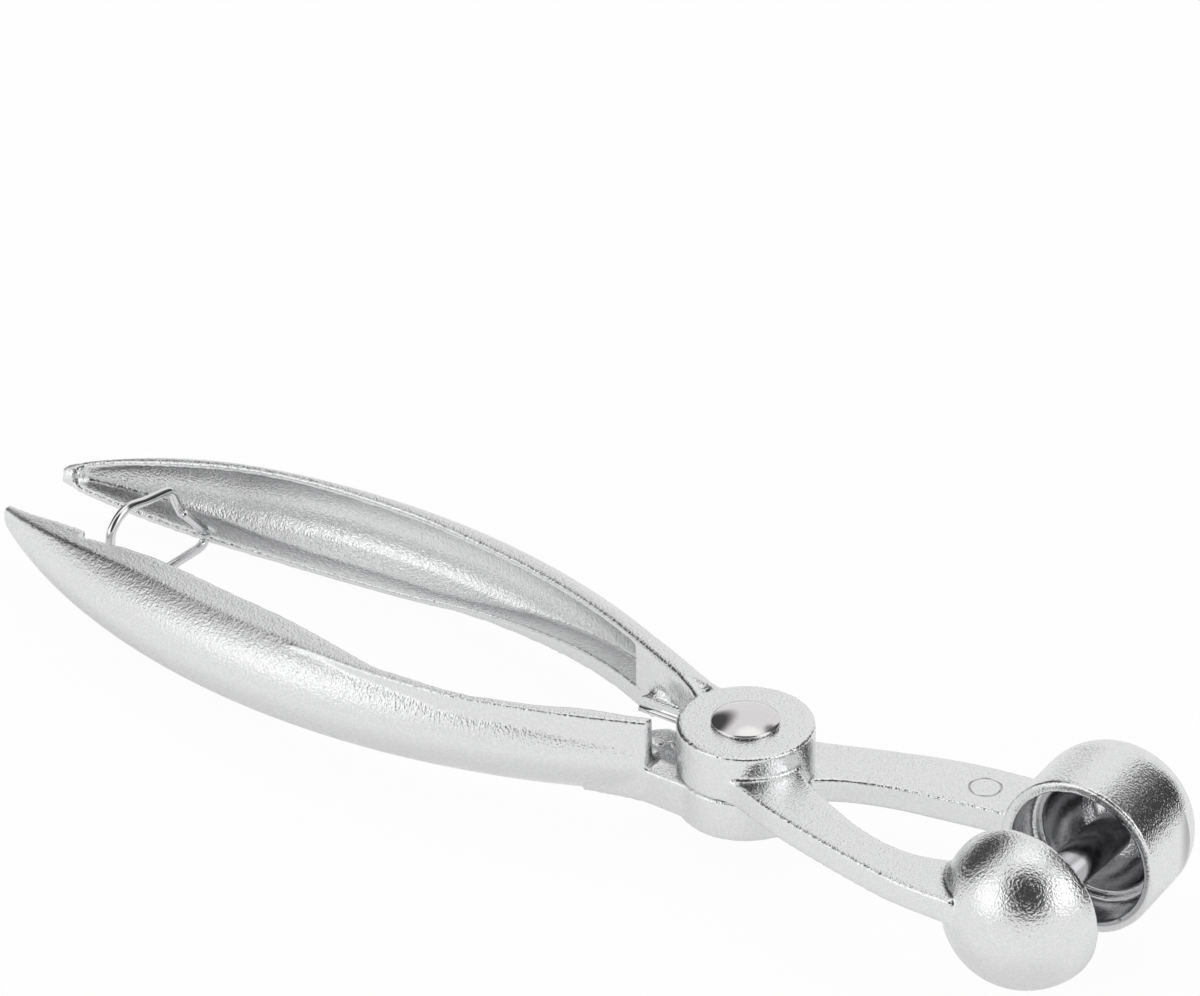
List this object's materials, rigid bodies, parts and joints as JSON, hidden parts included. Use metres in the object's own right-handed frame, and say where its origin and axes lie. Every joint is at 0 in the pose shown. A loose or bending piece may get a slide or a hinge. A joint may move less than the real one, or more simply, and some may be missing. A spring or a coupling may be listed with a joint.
{
  "type": "olive_pitter",
  "caption": "Cast aluminium olive pitter on a plier pivot: a cup and a hollow plunger dome at the jaws, bowed channel handles, an opening spring in the hub and a wire lock ring",
  "frame": {"origin": "centre of the rivet's flat peened tail, in the flat underside of the hub; the pivot axis goes through it", "axes": "+X from the pivot toward the jaws, +Z along the pivot axis from the underside to the rivet's head, +Y toward the plunger lever's handle"},
  "size_m": [0.1647, 0.0434, 0.0198],
  "materials": {
    "cast_body": "tumbled casting",
    "pins": "turned",
    "wire": "bright drawn wire"
  },
  "bodies": {
    "cup_side": {"cup_lever": "cast_body", "pivot_rivet": "pins", "opening_spring": "wire"},
    "plunger_side": {"plunger_lever": "cast_body", "plunger_rod": "pins"},
    "ring": {"lock_ring": "wire"}
  },
  "joints": [
    {"name": "squeeze", "type": "hinge", "parent": "cup_side", "child": "plunger_side", "pos_m": [0, 0, 0.0115], "axis": [0, 0, 1], "range_deg": [0, 5], "stiffness_Nm_per_rad": 0.05, "deforming": ["opening_spring"]},
    {"name": "lock_ring_swing", "type": "hinge", "parent": "plunger_side", "child": "ring", "pos_m": [-0.0925, 0.0093, 0], "axis": [0, 0, 1], "range_deg": [0, 65]}
  ],
  "couplings": [
    {"joint": "lock_ring_swing", "follows": "squeeze", "ratio": 12}
  ]
}
